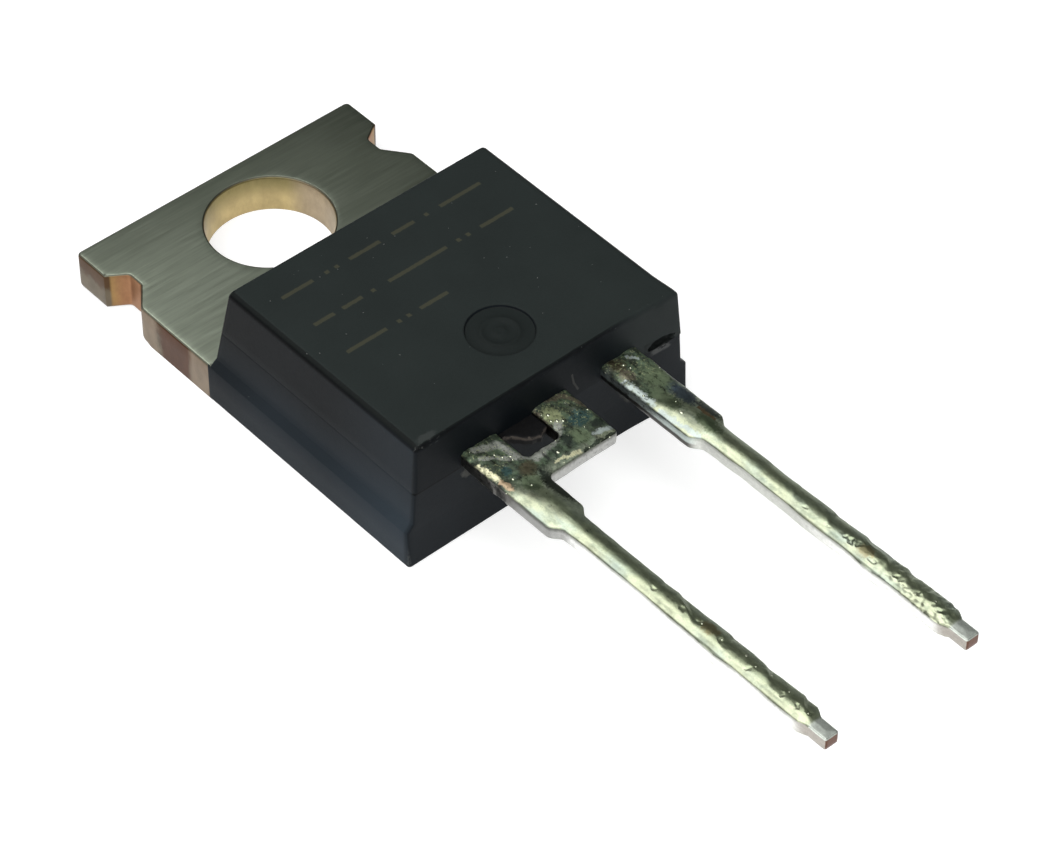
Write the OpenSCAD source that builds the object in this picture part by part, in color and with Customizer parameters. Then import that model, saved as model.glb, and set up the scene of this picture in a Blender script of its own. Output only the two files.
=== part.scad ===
// Two-lead power diode in a tab package, in millimetres.
// The origin is on the mounting hole's axis, in the plane of the tab's back.
// +X runs across the tab, +Y to the tab's free end, +Z up; the leads point to -Y.

/* [Heatsink tab] */
// Width across the tab
tab_w = 10.15; // [9.9:0.05:10.5]
// Thickness of the tab
tab_t = 1.27; // [1.15:0.01:1.4]
// Hole axis to the tab's free end
tab_end = 2.6; // [2.4:0.05:3]
// Hole axis to the moulding's flange, where the tab stops being full width
tab_reach = 3.45; // [3.1:0.05:3.8]
// Diameter of the mounting hole
hole_d = 3.84; // [3.4:0.02:4.1]
// Chamfer round the hole's upper rim
hole_rim = 0.07; // [0.02:0.01:0.12]
// Depth of the two side notches
notch_depth = 0.6; // [0.3:0.05:0.8]
// Width of a side notch at the tab's edge
notch_mouth = 2; // [1.5:0.1:2.2]
// Width of a side notch at its floor
notch_floor = 0.55; // [0.4:0.05:0.8]

/* [Die pad] */
// Width of the tab's upper layer inside the moulding
pad_w = 8.3; // [7.6:0.1:8.8]
// How far the upper layer stands out past the bare back all round
pad_lock = 0.35; // [0.2:0.05:0.5]
// Thickness of the bare back layer
pad_lock_t = 0.5; // [0.35:0.05:0.7]
// Width of the grooves that stop moisture creeping along the pad
groove_w = 0.4; // [0.2:0.05:0.5]

/* [Leads] */
// Distance between the two leads' centres
lead_pitch = 5.08; // [4.8:0.02:5.3]
// Thickness of the leads
lead_t = 0.47; // [0.38:0.01:0.56]
// Tab's back to the underside of the leads
lead_z = 2.64; // [2.4:0.02:2.8]
// Length of the leads outside the moulding
lead_len = 13.58; // [12:0.1:14.5]
// Width of the slim part of a lead
lead_w = 0.78; // [0.65:0.01:1]
// Width of a lead's shoulder
shoulder_w = 1.24; // [1.15:0.01:1.4]
// Length of the shoulder outside the moulding
shoulder_len = 3.5; // [3.1:0.1:4]
// Width of the sheared tip
tip_w = 0.46; // [0.35:0.01:0.6]
// Length of the sheared tip
tip_len = 0.62; // [0.4:0.02:1]
// Length of the slopes at the shoulder and at the tip
taper_len = 0.3; // [0.15:0.05:0.5]
// Moulding to the near edge of the bridge between cathode lead and centre stub
bridge_gap = 1.22; // [0.9:0.02:1.4]
// Width of that bridge along the leads
bridge_w = 0.85; // [0.6:0.05:1]
// Length of a lead held straight in the moulding's front wall
lead_grip = 0.35; // [0.3:0.01:0.5]
// Width of the bond posts inside the moulding
post_w = 2.4; // [2.1:0.1:2.8]
// Length of the bond posts
post_len = 1.6; // [1.6:0.05:2]
// Middle radius of the two bends that bring the centre lead down to the pad
bend_r = 0.5; // [0.4:0.05:0.6]
// Steepness of the centre lead between its bends
bend_angle = 68; // [60:1:76]

/* [Moulding] */
// Tab's back to the top face
body_h = 4.3; // [4.2:0.05:4.6]
// The moulding's base stands this far inside the tab's edge on each side
body_inset = 0.025; // [0:0.005:0.1]
// Hole axis to the back face, where it meets the tab
body_back = 3.57; // [3.45:0.05:3.9]
// Hole axis to the front face, at the parting line
body_front = 12.22; // [11.9:0.02:12.6]
// The moulding's underside stands this far above the bare pad
body_lift = 0.04; // [0.02:0.01:0.08]
// Ledge on each side where the base stands out
side_ledge = 0.17; // [0.1:0.01:0.25]
// Lean of the side faces above the ledge
side_draft = 4; // [2:0.5:7]
// Lean of the back face
back_draft = 11; // [5:1:13]
// Lean of the front face above the parting line
front_draft = 3; // [1:0.5:5]
// Step back of the front face below the parting line
parting_step = 0.04; // [0.02:0.01:0.08]
// Radius along the sides of the top face
side_round = 0.22; // [0.1:0.02:0.35]
// Radius along the front and the back of the top face
end_round = 0.09; // [0.05:0.01:0.2]
// Radius of the upright corners
corner_round = 0.14; // [0.08:0.02:0.3]
// Diameter of the ejector pin's mark in the top face
pin_mark_d = 1.95; // [1.5:0.05:2.4]
// Depth of that mark
pin_mark_depth = 0.07; // [0.03:0.01:0.12]
// Front face to the centre of that mark
pin_mark_in = 2.05; // [1.7:0.05:2.6]
// Length of the scar where the gate was broken off
gate_len = 1; // [0.6:0.05:1.2]
// Depth of that scar
gate_depth = 0.27; // [0.15:0.01:0.35]
// How far the web of flash reaches out between cathode lead and stub
flash_reach = 0.75; // [0.4:0.05:0.85]

/* [Die and wires] */
// Side of the square silicon die
die_w = 2.54; // [2.2:0.02:2.9]
// Thickness of the die
die_t = 0.28; // [0.2:0.01:0.35]
// Depth of the etched moat round the die's contact
die_moat = 0.04; // [0.02:0.01:0.06]
// Thickness of the solder under the die
solder_t = 0.06; // [0.04:0.01:0.1]
// Solder showing outside the die, on each side
solder_edge = 0.12; // [0.05:0.01:0.2]
// Diameter of the bond wires
wire_d = 0.38; // [0.3:0.01:0.4]
// Distance between neighbouring bond wires
wire_gap = 0.58; // [0.52:0.01:0.6]
// Height of the wires' loops above the bond posts
loop_rise = 0.46; // [0.4:0.02:0.6]

/* [Hidden] */

epoxy_colour = [0.17, 0.19, 0.2];
plated_colour = [0.6, 0.62, 0.56];
tinned_colour = [0.76, 0.78, 0.68];
silicon_colour = [0.32, 0.33, 0.38];
solder_colour = [0.66, 0.67, 0.68];
wire_colour = [0.86, 0.87, 0.88];

eps = 0.01;                          // overlap that keeps cuts and joins clean
round_fn = 96;                       // facets of a full circle
wire_fn = 12;                        // sides of a bond wire, which nothing shows
lead_x = lead_pitch / 2;
lead_top = lead_z + lead_t;
front_y = -body_front;
grip_y = front_y + lead_grip;        // inner end of the straight part of a lead
shoulder_y = front_y - shoulder_len;
lead_end_y = front_y - lead_len;
tip_y = lead_end_y + tip_len;

// The centre lead's drop from the lead plane to the pad
bend_rise = lead_z + lead_t - tab_t;
bend_leg = (bend_rise - 2 * bend_r * (1 - cos(bend_angle))) / sin(bend_angle);
bend_run = 2 * bend_r * sin(bend_angle) + bend_leg * cos(bend_angle);
pad_front_y = grip_y + bend_run;     // front edge of the pad's upper layer
pad_y = (pad_front_y - tab_reach) / 2;
groove_inset = 0.55;                 // moulding's back to the first groove
groove_end = 0.5;                     // a groove stops this far inside the pad's edge

// Radii in the stamped outlines
tab_corner = 0.2;
flange_corner = 0.05;
notch_lead_round = 0.3;              // at the mouth, on the moulding's side
notch_floor_round = 0.15;
notch_far_round = 0.06;              // at the mouth, on the free end's side
pad_corner = 0.4;
pad_fillet = 0.15;
lead_fillet = 0.15;
tip_fillet = 0.1;
tip_corner = 0.03;
post_corner = 0.2;
slot_fillet = 0.2;
sheared_corner = 0.04;

// The side notches: the floor lies nearer the free end than the mouth does
notch_y = 0.38;
notch_floor_y = notch_y + 0.24;

// The moulding's profile
base_w = tab_w / 2 - body_inset;
ledge_w = base_w - side_ledge;
ledge_z = tab_t + 1.5 * side_ledge;
pin_mark_y = front_y + pin_mark_in;
gate_x = ledge_w - gate_len / 2 - side_ledge / 2;

// Die, posts and wires
die_top = tab_t + solder_t + die_t;
post_y = grip_y + post_len / 2;
foot_len = 2 * wire_d;
foot_w = 1.25 * wire_d;
foot_t = 0.55 * wire_d;
wire_seat = 0.45 * wire_d;           // a wire's axis above the face that it is bonded to
wire_dir = [lead_x, post_y - pad_y] / norm([lead_x, post_y - pad_y]);
wire_side = [-wire_dir.y, wire_dir.x];
foot_back = (foot_len - wire_d) / 2; // foot's centre to the point where the loop springs

function unit(v) = v / norm(v);

// One rounded corner of an outline: p is [x, y, radius], between the corners a and b
function corner(a, p, b) =
    let (
        q = [p.x, p.y],
        u = unit([a.x, a.y] - q),
        v = unit([b.x, b.y] - q),
        half = acos(u * v) / 2,
        c = q + unit(u + v) * p[2] / sin(half),
        s = q + u * p[2] / tan(half) - c,
        e = q + v * p[2] / tan(half) - c,
        a0 = atan2(s.y, s.x),
        turn = (atan2(e.y, e.x) - a0 + 900) % 360 - 180,
        n = 6
    )
    p[2] == 0 ? [q] : [for (i = [0 : n]) c + p[2] * [cos(a0 + turn * i / n), sin(a0 + turn * i / n)]];

function rounded(pts) =
    let (n = len(pts))
    [for (i = [0 : n - 1]) each corner(pts[(i + n - 1) % n], pts[i], pts[(i + 1) % n])];

// A list of corners mirrored in X and run the other way
function mirrored(pts) = [for (i = [len(pts) - 1 : -1 : 0]) [-pts[i].x, pts[i].y, pts[i][2]]];

// Right edge of the tab with its notch, from the flange to the free end
tab_edge = [
    [tab_w / 2, -tab_reach, flange_corner],
    [tab_w / 2, notch_y - notch_mouth / 2, notch_lead_round],
    [tab_w / 2 - notch_depth, notch_floor_y - notch_floor / 2, notch_floor_round],
    [tab_w / 2 - notch_depth, notch_floor_y + notch_floor / 2, notch_floor_round],
    [tab_w / 2, notch_y + notch_mouth / 2, notch_far_round],
    [tab_w / 2, tab_end, tab_corner]
];

// Plan of one layer of the header; inset draws the part inside the moulding back from the upper layer
module header_plan(inset) {
    pad_edge = [
        [pad_w / 2 - inset, pad_front_y + inset, pad_corner],
        [pad_w / 2 - inset, -tab_reach, pad_fillet]
    ];
    right = concat(pad_edge, tab_edge);
    polygon(rounded(concat(right, mirrored(right))));
}

// V grooves across the pad's upper face, just inside the moulding and round behind the die
module pad_groove(y) {
    translate([0, y, tab_t])
        rotate([90, 0, 90])
            linear_extrude(pad_w - 2 * groove_end, center = true)
                polygon([[-groove_w / 2, eps], [groove_w / 2, eps], [0, -groove_w / 2]]);
}

// The mounting hole with its rim, cut through the header
module mounting_hole() {
    translate([0, 0, -eps])
        cylinder(d = hole_d, h = tab_t + 2 * eps, $fn = round_fn);
    translate([0, 0, tab_t - hole_rim])
        cylinder(d1 = hole_d, d2 = hole_d + 2 * (hole_rim + eps), h = hole_rim + eps, $fn = round_fn);
}

module header() {
    difference() {
        union() {
            linear_extrude(pad_lock_t)
                header_plan(pad_lock);
            translate([0, 0, pad_lock_t])
                linear_extrude(tab_t - pad_lock_t)
                    header_plan(0);
        }
        mounting_hole();
        pad_groove(-body_back - groove_inset);
        pad_groove(-body_back - groove_inset - 2 * groove_w);
    }
}

// Left edge of a lead from the moulding to the tip, and its right edge back again
function lead_left(x) = [
    [x - shoulder_w / 2, shoulder_y, lead_fillet],
    [x - lead_w / 2, shoulder_y - taper_len, lead_fillet],
    [x - lead_w / 2, tip_y + taper_len, tip_fillet],
    [x - tip_w / 2, tip_y, tip_fillet],
    [x - tip_w / 2, lead_end_y, tip_corner]
];
function lead_right(x) = mirrored(lead_left(-x));

module post_plan(x) {
    polygon(rounded([
        [x + post_w / 2, grip_y, post_corner],
        [x + post_w / 2, grip_y + post_len, post_corner],
        [x - post_w / 2, grip_y + post_len, post_corner],
        [x - post_w / 2, grip_y, post_corner]
    ]));
}

// Plan of the cathode lead, the bridge and the centre stub, which are one sheet
module cathode_plan() {
    x = -lead_x;
    near = front_y - bridge_gap;
    far = near - bridge_w;
    polygon(rounded(concat(
        [[x - shoulder_w / 2, grip_y + eps, 0]],
        lead_left(x),
        lead_right(x),
        [
            [x + shoulder_w / 2, far, slot_fillet],
            [shoulder_w / 2, far, sheared_corner],
            [shoulder_w / 2, grip_y, 0],
            [-shoulder_w / 2, grip_y, 0],
            [-shoulder_w / 2, near, slot_fillet],
            [x + shoulder_w / 2, near, slot_fillet],
            [x + shoulder_w / 2, grip_y + eps, 0]
        ]
    )));
    post_plan(x);
}

module anode_plan() {
    polygon(rounded(concat(
        [[lead_x - shoulder_w / 2, grip_y + eps, 0]],
        lead_left(lead_x),
        lead_right(lead_x),
        [[lead_x + shoulder_w / 2, grip_y + eps, 0]]
    )));
    post_plan(lead_x);
}

// Middle line of the centre lead's drop as [y, z, slope], from the pad forward and up
function drop_line() =
    let (
        n = 6,
        y0 = pad_front_y,
        z0 = tab_t - lead_t / 2,
        z1 = lead_z + lead_t / 2,
        low = [for (i = [0 : n]) let (a = bend_angle * i / n)
            [y0 - bend_r * sin(a), z0 + bend_r * (1 - cos(a)), a]],
        high = [for (i = [0 : n]) let (a = bend_angle * (n - i) / n)
            [grip_y + bend_r * sin(a), z1 - bend_r * (1 - cos(a)), a]]
    )
    concat([[y0 + lead_t, z0, 0]], low, high, [[grip_y - eps, z1, 0]]);

module centre_drop() {
    line = drop_line();
    upper = [for (p = line) [p[0] + sin(p[2]) * lead_t / 2, p[1] + cos(p[2]) * lead_t / 2]];
    lower = [for (i = [len(line) - 1 : -1 : 0]) let (p = line[i])
        [p[0] - sin(p[2]) * lead_t / 2, p[1] - cos(p[2]) * lead_t / 2]];
    rotate([90, 0, 90])
        linear_extrude(shoulder_w, center = true)
            polygon(concat(upper, lower));
}

module tab_and_cathode_lead() {
    color(plated_colour) {
        header();
        centre_drop();
        translate([0, 0, lead_z])
            linear_extrude(lead_t)
                cathode_plan();
    }
}

module anode_lead() {
    color(tinned_colour)
        translate([0, 0, lead_z])
            linear_extrude(lead_t)
                anode_plan();
}

module square_plate(w, z, t) {
    translate([-w / 2, pad_y - w / 2, z])
        cube([w, w, t]);
}

module die_solder() {
    color(solder_colour)
        square_plate(die_w + 2 * solder_edge, tab_t, solder_t);
}

// The die: a plate whose contact stands inside a moat etched round its edge
module schottky_die() {
    rim = 0.15;
    color(silicon_colour)
        difference() {
            square_plate(die_w, tab_t + solder_t, die_t);
            difference() {
                square_plate(die_w - rim, die_top - die_moat, 2 * die_moat);
                square_plate(die_w - 3 * rim, die_top - 2 * die_moat, 4 * die_moat);
            }
        }
}

// The flattened foot of a wire, centred on the origin and lying along X
module wire_foot() {
    linear_extrude(foot_t)
        polygon(rounded([
            [foot_len / 2, -foot_w / 2, foot_w / 3],
            [foot_len / 2, foot_w / 2, foot_w / 3],
            [-foot_len / 2, foot_w / 2, foot_w / 3],
            [-foot_len / 2, -foot_w / 2, foot_w / 3]
        ]));
}

// A wire loop: one arc that springs from the die, peaks above the post and comes down on it
module bond_wire(i) {
    side = i * wire_gap * wire_side;
    span = norm([lead_x, post_y - pad_y]) - 2 * foot_back;
    peak = lead_top + wire_seat + loop_rise;
    drop_die = peak - die_top - wire_seat;
    drop_post = loop_rise;
    k = drop_post / drop_die - 1;
    mid = (-span + sqrt(span * span + k * (span * span + drop_post * (drop_post - drop_die)))) / k;
    r = (mid * mid + drop_die * drop_die) / (2 * drop_die);
    a_die = atan2(r - drop_die, -mid);
    a_post = atan2(r - drop_post, span - mid);
    color(wire_colour)
        translate([side.x, pad_y + side.y, 0])
            rotate([0, 0, atan2(wire_dir.y, wire_dir.x)]) {
                translate([foot_back + mid, 0, peak - r])
                    rotate([90, 0, 0])
                        rotate([0, 0, a_post])
                            rotate_extrude(angle = a_die - a_post, $fn = round_fn)
                                translate([r, 0])
                                    circle(d = wire_d, $fn = wire_fn);
                translate([0, 0, die_top])
                    wire_foot();
                translate([span + 2 * foot_back, 0, lead_top])
                    wire_foot();
            }
}

// One level of the moulding: a rectangle with rounded corners as a ring of points
function ring(z, w, back, front, r) =
    let (n = 4)
    [for (c = [[w - r, back - r, 0], [r - w, back - r, 90], [r - w, front + r, 180], [w - r, front + r, 270]])
        for (i = [0 : n]) [c.x + r * cos(c[2] + 90 * i / n), c.y + r * sin(c[2] + 90 * i / n), z]];

// A closed solid through a list of rings, from the lowest to the highest
module loft(rings) {
    n = len(rings[0]);
    m = len(rings);
    polyhedron(
        points = [for (r = rings) each r],
        faces = concat(
            [[for (i = [0 : n - 1]) i]],
            [for (j = [0 : m - 2]) for (i = [0 : n - 1])
                each [[j * n + i, (j + 1) * n + i, (j + 1) * n + (i + 1) % n],
                      [j * n + i, (j + 1) * n + (i + 1) % n, j * n + (i + 1) % n]]],
            [[for (i = [n - 1 : -1 : 0]) (m - 1) * n + i]]
        )
    );
}

function side_at(z) = ledge_w - (z - ledge_z) * tan(side_draft);
function back_at(z) = -body_back - (z - tab_t) * tan(back_draft);
function front_at(z) = front_y + (z - lead_z) * tan(front_draft);

// The part level with the tab, whose flanges meet the tab's shoulders
module base_block() {
    edge = 0.06;
    low_front = front_y + parting_step;
    loft([
        ring(body_lift, base_w - edge, -tab_reach, low_front + edge, corner_round),
        ring(body_lift + edge, base_w, -tab_reach, low_front, corner_round),
        ring(tab_t, base_w, -tab_reach, low_front, corner_round)
    ]);
}

// From the tab's upper face to the parting line
module lower_block() {
    low_front = front_y + parting_step;
    loft([
        ring(tab_t - eps, base_w, back_at(tab_t), low_front, corner_round),
        ring(tab_t, base_w, back_at(tab_t), low_front, corner_round),
        ring(ledge_z, ledge_w, back_at(ledge_z), low_front, corner_round),
        ring(lead_z, side_at(lead_z), back_at(lead_z), low_front, corner_round)
    ]);
}

// From the parting line to the top face, with the rounded upper edges
module upper_block() {
    turn_z = body_h - side_round;
    loft(concat(
        [ring(lead_z - eps, side_at(lead_z), back_at(lead_z), front_at(lead_z), corner_round)],
        [for (a = [0 : 15 : 90])
            let (z = turn_z + side_round * sin(a), in = 1 - cos(a))
            ring(z, side_at(turn_z) - side_round * in, back_at(turn_z) - end_round * in,
                 front_at(turn_z) + end_round * in, corner_round)]
    ));
}

// The scar of the gate, a shallow spindle lying in the front face on the parting line
module gate_scar() {
    bulge = (gate_len * gate_len / 4 - gate_depth * gate_depth) / (2 * gate_depth);
    reach = acos(bulge / (bulge + gate_depth));
    translate([gate_x, front_y, lead_z + gate_depth / 4])
        rotate([0, 90, 0])
            rotate_extrude($fn = 48)
                polygon(concat(
                    [[0, -gate_len / 2]],
                    [for (a = [-0.8, -0.6, -0.4, -0.2, 0, 0.2, 0.4, 0.6, 0.8])
                        (bulge + gate_depth) * [cos(a * reach), sin(a * reach)] - [bulge, 0]],
                    [[0, gate_len / 2]]
                ));
}

module pin_mark() {
    translate([0, pin_mark_y, body_h - pin_mark_depth])
        cylinder(d1 = pin_mark_d, d2 = pin_mark_d + 0.06, h = pin_mark_depth + eps, $fn = round_fn);
}

// Resin that crept out between cathode lead and stub, broken off on a slant
module flash_web() {
    left = -lead_x + shoulder_w / 2;
    right = -shoulder_w / 2;
    gap = right - left;
    skin = 0.05;
    translate([0, 0, lead_z + skin])
        linear_extrude(lead_t - 2 * skin)
            polygon([
                [left, front_y + 3 * eps + parting_step],
                [left, front_y - 0.38 * flash_reach],
                [left + 0.2 * gap, front_y - 0.62 * flash_reach],
                [left + 0.42 * gap, front_y - flash_reach],
                [left + 0.7 * gap, front_y - 0.86 * flash_reach],
                [right, front_y - 0.5 * flash_reach],
                [right, front_y + 3 * eps + parting_step]
            ]);
}

module moulded_body() {
    color(epoxy_colour)
        difference() {
            union() {
                base_block();
                lower_block();
                upper_block();
                flash_web();
            }
            pin_mark();
            gate_scar();
            tab_and_cathode_lead();
            anode_lead();
            die_solder();
            schottky_die();
            for (i = [-1 : 1])
                bond_wire(i);
        }
}

moulded_body();
tab_and_cathode_lead();
anode_lead();
schottky_die();
die_solder();
bond_wire(-1);  // bond_wire_1
bond_wire(0);  // bond_wire_2
bond_wire(1);  // bond_wire_3
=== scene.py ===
import math

import bmesh
import bpy
import numpy as np
from mathutils import Matrix, Quaternion, Vector, noise
from mathutils.geometry import delaunay_2d_cdt


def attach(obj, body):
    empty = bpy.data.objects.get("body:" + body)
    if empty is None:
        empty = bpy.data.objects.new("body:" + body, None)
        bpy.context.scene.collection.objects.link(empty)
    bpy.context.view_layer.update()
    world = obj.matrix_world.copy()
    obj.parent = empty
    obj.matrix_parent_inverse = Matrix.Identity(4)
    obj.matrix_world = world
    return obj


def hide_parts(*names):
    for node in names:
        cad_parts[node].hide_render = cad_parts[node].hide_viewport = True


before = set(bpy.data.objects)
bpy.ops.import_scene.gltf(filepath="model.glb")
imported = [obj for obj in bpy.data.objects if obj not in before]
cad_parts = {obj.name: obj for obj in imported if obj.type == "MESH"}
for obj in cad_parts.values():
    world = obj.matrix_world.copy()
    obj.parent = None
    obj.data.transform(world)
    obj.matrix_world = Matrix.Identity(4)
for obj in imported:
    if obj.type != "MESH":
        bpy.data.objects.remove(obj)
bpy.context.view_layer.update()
print("frame loaded")

# Meshes are built in millimetres and scaled to metres when they are finished.
metre = 0.001


# A number in a material's node tree, with the usual arithmetic.
class Num:
    def __init__(self, tree, socket):
        self.tree = tree
        self.socket = socket

    def calc(self, operation, *terms):
        made = self.tree.nodes.new("ShaderNodeMath")
        made.operation = operation
        for place, term in zip(made.inputs, terms):
            if isinstance(term, Num):
                self.tree.links.new(term.socket, place)
            else:
                place.default_value = term
        return Num(self.tree, made.outputs[0])

    def __add__(self, other):
        return self.calc("ADD", self, other)

    def __radd__(self, other):
        return self.calc("ADD", other, self)

    def __sub__(self, other):
        return self.calc("SUBTRACT", self, other)

    def __rsub__(self, other):
        return self.calc("SUBTRACT", other, self)

    def __mul__(self, other):
        return self.calc("MULTIPLY", self, other)

    def __rmul__(self, other):
        return self.calc("MULTIPLY", other, self)

    def __truediv__(self, other):
        return self.calc("DIVIDE", self, other)

    def __rtruediv__(self, other):
        return self.calc("DIVIDE", other, self)

    def __pow__(self, other):
        return self.calc("POWER", self, other)

    def __rpow__(self, other):
        return self.calc("POWER", other, self)

    def __neg__(self):
        return self.calc("MULTIPLY", self, -1)

    def size(self):
        return self.calc("ABSOLUTE", self)

    def most(self, other):
        return self.calc("MAXIMUM", self, other)

    def least(self, other):
        return self.calc("MINIMUM", self, other)


# A Principled material with helpers that work in millimetres of object space.
class Paint:
    def __init__(self, name):
        self.material = bpy.data.materials.new(name)
        self.material.use_nodes = True
        self.tree = self.material.node_tree
        self.shader = self.tree.nodes["Principled BSDF"]
        coords = self.tree.nodes.new("ShaderNodeTexCoord")
        self.place = self.node(
            "ShaderNodeVectorMath",
            {"operation": "SCALE"},
            {"Vector": Num(self.tree, coords.outputs["Object"]), "Scale": 1 / metre},
        )
        self.x = self.node("ShaderNodeSeparateXYZ", {}, {"Vector": self.place}, "X")
        self.y = self.node("ShaderNodeSeparateXYZ", {}, {"Vector": self.place}, "Y")
        self.z = self.node("ShaderNodeSeparateXYZ", {}, {"Vector": self.place}, "Z")

    def node(self, kind, settings=None, sockets=None, output=0):
        made = self.tree.nodes.new(kind)
        for key, value in (settings or {}).items():
            setattr(made, key, value)
        for key, value in (sockets or {}).items():
            self.put(made.inputs[key], value)
        return Num(self.tree, made.outputs[output])

    def put(self, socket, value):
        if isinstance(value, Num):
            self.tree.links.new(value.socket, socket)
        elif isinstance(value, tuple) and len(value) == 3 and socket.type == "RGBA":
            socket.default_value = value + (1,)
        else:
            socket.default_value = value

    def noise(self, scale, stretch=(1, 1, 1), detail=3, roughness=0.55, shift=(0, 0, 0)):
        place = self.node("ShaderNodeMapping", {}, {"Vector": self.place, "Location": shift, "Scale": stretch})
        return self.node(
            "ShaderNodeTexNoise", {}, {"Vector": place, "Scale": scale, "Detail": detail, "Roughness": roughness}
        )

    def ramp(self, value, low, high, start=0, end=1):
        return self.node(
            "ShaderNodeMapRange",
            {"interpolation_type": "SMOOTHSTEP"},
            {"Value": value, "From Min": low, "From Max": high, "To Min": start, "To Max": end},
            "Result",
        )

    def mix(self, factor, first, second):
        made = self.tree.nodes.new("ShaderNodeMix")
        made.data_type = "RGBA"
        self.put(made.inputs[0], factor)
        self.put(made.inputs[6], first)
        self.put(made.inputs[7], second)
        return Num(self.tree, made.outputs[2])

    def blend(self, factor, first, second):
        return first + (second - first) * factor

    def bump(self, height, strength, distance, under=None):
        sockets = {"Height": height, "Strength": strength, "Distance": distance * metre}
        if under is not None:
            sockets["Normal"] = under
        return self.node("ShaderNodeBump", {}, sockets, "Normal")

    def facing(self):
        geometry = self.node("ShaderNodeNewGeometry", {}, {}, "Normal")
        split = self.tree.nodes.new("ShaderNodeSeparateXYZ")
        self.tree.links.new(geometry.socket, split.inputs[0])
        return [Num(self.tree, s) for s in split.outputs]

    # An uneven patch round a place, given along two axes with its half sizes.
    def patch(self, first, second, place, halves, wobble):
        u = (first - place[0]) / halves[0]
        v = (second - place[1]) / halves[1]
        return self.ramp((u * u + v * v) ** 0.5 + wobble, 1.2, 0.6)

    # An uneven stroke along a line of places, in the plane of two axes.
    def stroke(self, first, second, points, width, wobble=0):
        nearest = None
        for (ax, ay), (bx, by) in zip(points, points[1:]):
            dx, dy = bx - ax, by - ay
            along = ((first - ax) * dx + (second - ay) * dy) / (dx * dx + dy * dy)
            along = along.most(0).least(1)
            u = first - ax - along * dx
            v = second - ay - along * dy
            gap = (u * u + v * v) ** 0.5
            nearest = gap if nearest is None else nearest.least(gap)
        return self.ramp(nearest / width + wobble, 1.25, 0.55)

    def shaded(self, colour, shade):
        return self.node("ShaderNodeVectorMath", {"operation": "SCALE"}, {"Vector": colour, "Scale": shade})

    def finish(self, **sockets):
        for key, value in sockets.items():
            self.put(self.shader.inputs[key.replace("_", " ")], value)
        return self.material


# Outlines are lists of 2D points, anticlockwise round material and clockwise round holes.
def spread(points, step):
    dense = []
    for a, b in zip(points, points[1:] + points[:1]):
        count = max(1, math.ceil((b - a).length / step))
        dense += [a.lerp(b, k / count) for k in range(count)]
    return dense


def roundOutline(corners, step):
    points = []
    for i, (x, y, r) in enumerate(corners):
        p = Vector((x, y))
        u = (Vector(corners[i - 1][:2]) - p).normalized()
        v = (Vector(corners[(i + 1) % len(corners)][:2]) - p).normalized()
        if r == 0:
            points.append(p)
            continue
        half = math.acos(max(-1, min(1, u.dot(v)))) / 2
        centre = p + (u + v).normalized() * r / math.sin(half)
        start = p + u * r / math.tan(half) - centre
        end = p + v * r / math.tan(half) - centre
        first = math.atan2(start.y, start.x)
        turn = (math.atan2(end.y, end.x) - first + 5 * math.pi) % (2 * math.pi) - math.pi
        for k in range(7):
            angle = first + turn * k / 6
            points.append(centre + r * Vector((math.cos(angle), math.sin(angle))))
    return spread(points, step)


def circleOutline(x, y, radius, count, clockwise=False):
    sign = -1 if clockwise else 1
    turn = [sign * 2 * math.pi * k / count for k in range(count)]
    return [Vector((x + radius * math.cos(a), y + radius * math.sin(a))) for a in turn]


def insetOutline(points, amount):
    moved = []
    for i, p in enumerate(points):
        along = points[(i + 1) % len(points)] - points[i - 1]
        moved.append(p + Vector((-along.y, along.x)).normalized() * amount)
    return moved


def isInside(xy, outline):
    ring = np.array([p[:2] for p in outline])
    nxt = np.roll(ring, -1, axis=0)
    inside = np.zeros(len(xy), bool)
    for (ax, ay), (bx, by) in zip(ring, nxt):
        if ay == by:
            continue
        crosses = (ay > xy[:, 1]) != (by > xy[:, 1])
        inside ^= crosses & (xy[:, 0] < (bx - ax) * (xy[:, 1] - ay) / (by - ay) + ax)
    return inside


def edgeDistance(xy, loops):
    nearest = np.full(len(xy), 1e9)
    for loop in loops:
        ring = np.array([p[:2] for p in loop])
        for a, b in zip(ring, np.roll(ring, -1, axis=0)):
            d = b - a
            t = np.clip(((xy - a) @ d) / max(d @ d, 1e-12), 0, 1)
            nearest = np.minimum(nearest, np.hypot(*(xy - a - t[:, None] * d).T))
    return nearest


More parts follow.
